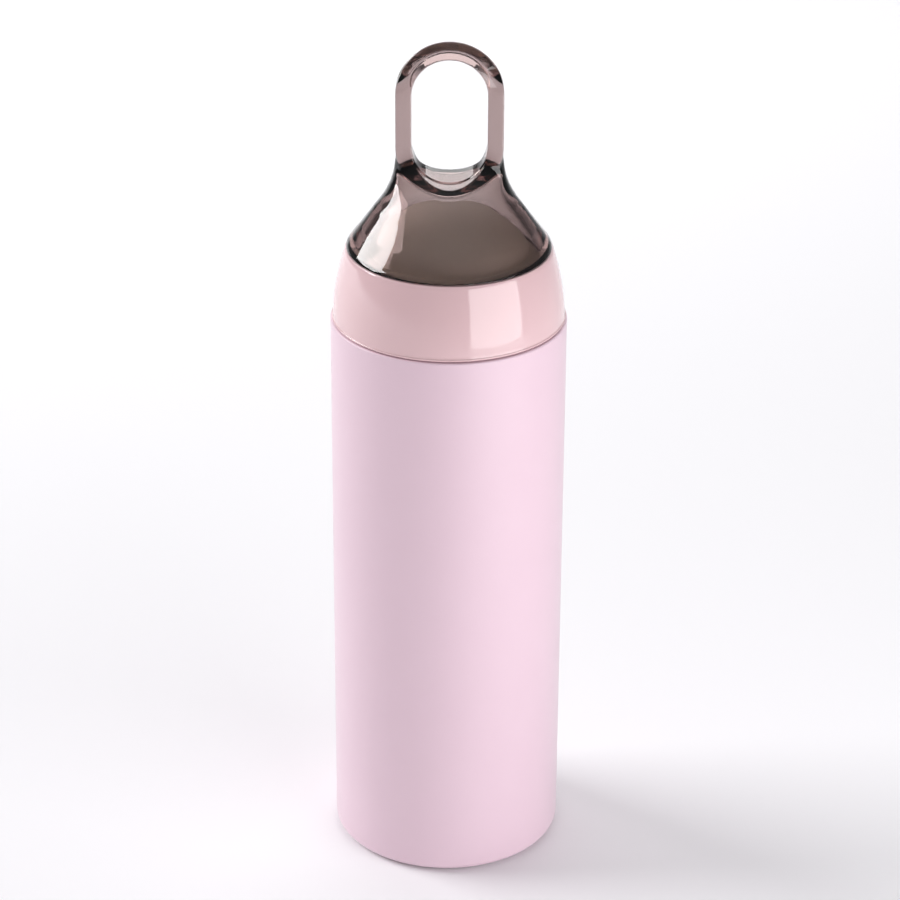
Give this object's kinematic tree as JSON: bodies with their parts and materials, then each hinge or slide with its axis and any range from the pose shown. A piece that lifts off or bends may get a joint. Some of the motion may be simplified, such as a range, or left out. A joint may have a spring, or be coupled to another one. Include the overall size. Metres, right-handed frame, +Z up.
{
  "type": "insulated shaker bottle",
  "caption": "Slim double-walled steel drinking bottle with a screw lid that ends in a clear smoke carry loop.",
  "frame": {"origin": "centre of the foot pad's face, on the table", "axes": "+Z up along the bottle's axis; +X across the carry loop, so the finger hole runs along Y"},
  "size_m": [0.07, 0.07, 0.2587],
  "materials": {
    "pink_powder_coat": "matte powder coat with a fine satin grain",
    "satin_steel": "electropolished and turned stainless steel",
    "sealing_glass": "fused grey sealing glass",
    "copper_foil": "thin rolled copper",
    "grey_silicone": "matte moulded silicone",
    "white_silicone": "satin moulded silicone",
    "pink_core_plastic": "satin moulded polypropylene",
    "grey_core_plastic": "satin moulded polypropylene, warm grey",
    "foam": "closed-cell foam",
    "gloss_pink_plastic": "high-gloss moulded plastic",
    "black_rubber": "matte rubber",
    "smoke_plastic": "polished clear smoke-tinted copolyester",
    "bright_wire": "polished stainless wire"
  },
  "bodies": {
    "bottle": {"outer_shell": "pink_powder_coat", "inner_vessel": "satin_steel", "vessel_base": "satin_steel", "base_cap": "satin_steel", "vacuum_seal_bead": "sealing_glass", "getter_pill": "satin_steel", "getter_strap": "satin_steel", "copper_foil_wrap": "copper_foil", "foot_pad": "grey_silicone"},
    "lid_seal": {"plug_gasket": "white_silicone"},
    "lid": {"lid_core": "pink_core_plastic", "lid_insulation": "foam", "lid_collar": "gloss_pink_plastic", "lid_top_plate": "grey_core_plastic", "cap_seal_ring": "black_rubber", "loop_cap": "smoke_plastic"},
    "mixing_ball": {"mixing_ball": "bright_wire"}
  },
  "joints": [
    {"name": "lid_lift", "type": "slide", "parent": "bottle", "child": "lid_seal", "axis": [0, 0, 1], "range_m": [0, 0.0401]},
    {"name": "lid_turn", "type": "hinge", "parent": "lid_seal", "child": "lid", "pos_m": [0, 0, 0.18], "axis": [0, 0, 1], "range_deg": [0, 1800]},
    {"name": "ball_travel", "type": "slide", "parent": "bottle", "child": "mixing_ball", "axis": [0, 0, -1], "range_m": [-0.138, 0]}
  ],
  "couplings": [
    {"joint": "lid_lift", "follows": "lid_turn", "m_per_rad": 0.0012732}
  ]
}
